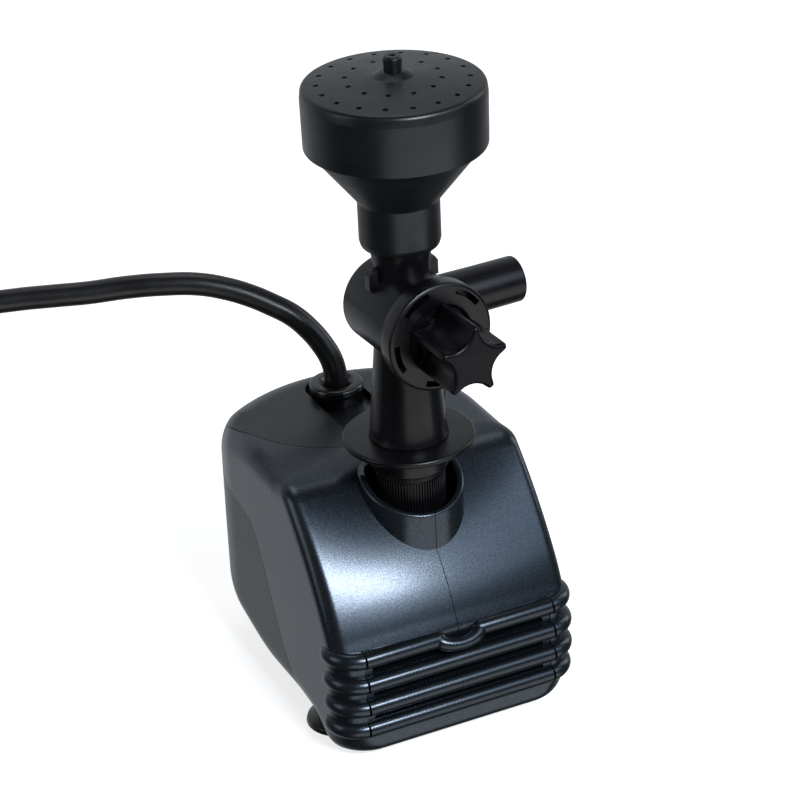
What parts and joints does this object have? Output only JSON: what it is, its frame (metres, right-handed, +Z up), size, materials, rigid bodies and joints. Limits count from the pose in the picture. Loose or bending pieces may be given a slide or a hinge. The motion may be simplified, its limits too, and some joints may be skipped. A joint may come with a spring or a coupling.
{
  "type": "fountain submersible pump",
  "caption": "Submersible fountain pump: a slope-fronted moulded casing on suction feet, with a riser, a flow valve, a side outlet, a spray rose and a coiled mains cord.",
  "frame": {"origin": "on the floor, under the middle of the pump's box without its free cord, coil and plug", "axes": "+Z up along the riser, -Y towards the intake grille and the valve's knob, +X towards the side outlet"},
  "size_m": [0.3003, 0.1487, 0.1964],
  "materials": {
    "casing_front": "moulded plastic with a fine metallic fleck, dark blue-grey, satin",
    "casing_rear": "moulded plastic, charcoal grey, fine satin grain",
    "grille": "moulded plastic, dark slate, semi-gloss",
    "dark_plastic": "moulded plastic, near black, satin",
    "inner_plastic": "moulded plastic inside the casing, near black",
    "impeller": "moulded plastic, grey-blue",
    "ferrite": "sintered ferrite magnet, dark grey",
    "steel": "ground stainless shaft",
    "ceramic": "ceramic bearing, off-white",
    "core_steel": "stacked steel laminations",
    "copper": "enamelled copper winding",
    "black_rubber": "moulded rubber, black, soft sheen",
    "riser_plastic": "moulded plastic, black, satin",
    "knob_plastic": "moulded plastic, black, satin",
    "head_plastic": "moulded plastic, black with a cold tint, satin",
    "cord_rubber": "rubber sheath, black, soft sheen",
    "pin_metal": "nickel-plated brass pins"
  },
  "bodies": {
    "casing": {"casing_left": "casing_front", "casing_right": "casing_front", "rear_housing": "casing_rear", "strainer_plate": "dark_plastic", "pump_chamber": "inner_plastic", "chamber_cover": "inner_plastic", "front_bush": "ceramic", "rear_bush": "ceramic", "motor_can": "inner_plastic", "stator_core": "core_steel", "coil_left": "copper", "coil_right": "copper", "foot_front_left": "black_rubber", "foot_front_right": "black_rubber", "foot_rear_left": "black_rubber", "foot_rear_right": "black_rubber", "cord_gland": "black_rubber", "power_cord": "cord_rubber", "cord_coil": "cord_rubber", "cord_tail": "cord_rubber", "cord_tie": "cord_rubber", "plug_body": "cord_rubber", "plug_pins": "pin_metal"},
    "grille": {"intake_grille": "grille"},
    "rotor": {"impeller": "impeller", "rotor_magnet": "ferrite", "rotor_shaft": "steel"},
    "nut": {"outlet_nut": "dark_plastic"},
    "riser": {"riser_flange": "riser_plastic", "valve_body": "riser_plastic", "valve_cap": "riser_plastic", "valve_ring": "black_rubber"},
    "knob": {"valve_knob": "knob_plastic", "valve_spool": "dark_plastic"},
    "head": {"head_funnel": "head_plastic"},
    "rose": {"rose_cap": "head_plastic", "head_jet": "head_plastic"}
  },
  "joints": [
    {"name": "grille_pull", "type": "slide", "parent": "casing", "child": "grille", "axis": [0, -1, 0], "range_m": [0, 0.02]},
    {"name": "rotor_spin", "type": "hinge", "parent": "casing", "child": "rotor", "pos_m": [0, -0.01736, 0.034], "axis": [0, -1, 0], "continuous": true},
    {"name": "nut_turn", "type": "hinge", "parent": "casing", "child": "nut", "pos_m": [0, -0.01736, 0.068], "axis": [0, 0, 1], "continuous": true},
    {"name": "riser_swivel", "type": "hinge", "parent": "casing", "child": "riser", "pos_m": [0, -0.01736, 0.08], "axis": [0, 0, 1], "continuous": true},
    {"name": "knob_turn", "type": "hinge", "parent": "riser", "child": "knob", "pos_m": [0, -0.01736, 0.1245], "axis": [0.0523, -0.9986, 0], "range_deg": [0, 90]},
    {"name": "head_lift", "type": "slide", "parent": "riser", "child": "head", "axis": [0, 0, 1], "range_m": [0, 0.012]},
    {"name": "rose_turn", "type": "hinge", "parent": "head", "child": "rose", "pos_m": [0, -0.01736, 0.18], "axis": [0, 0, 1], "continuous": true}
  ]
}
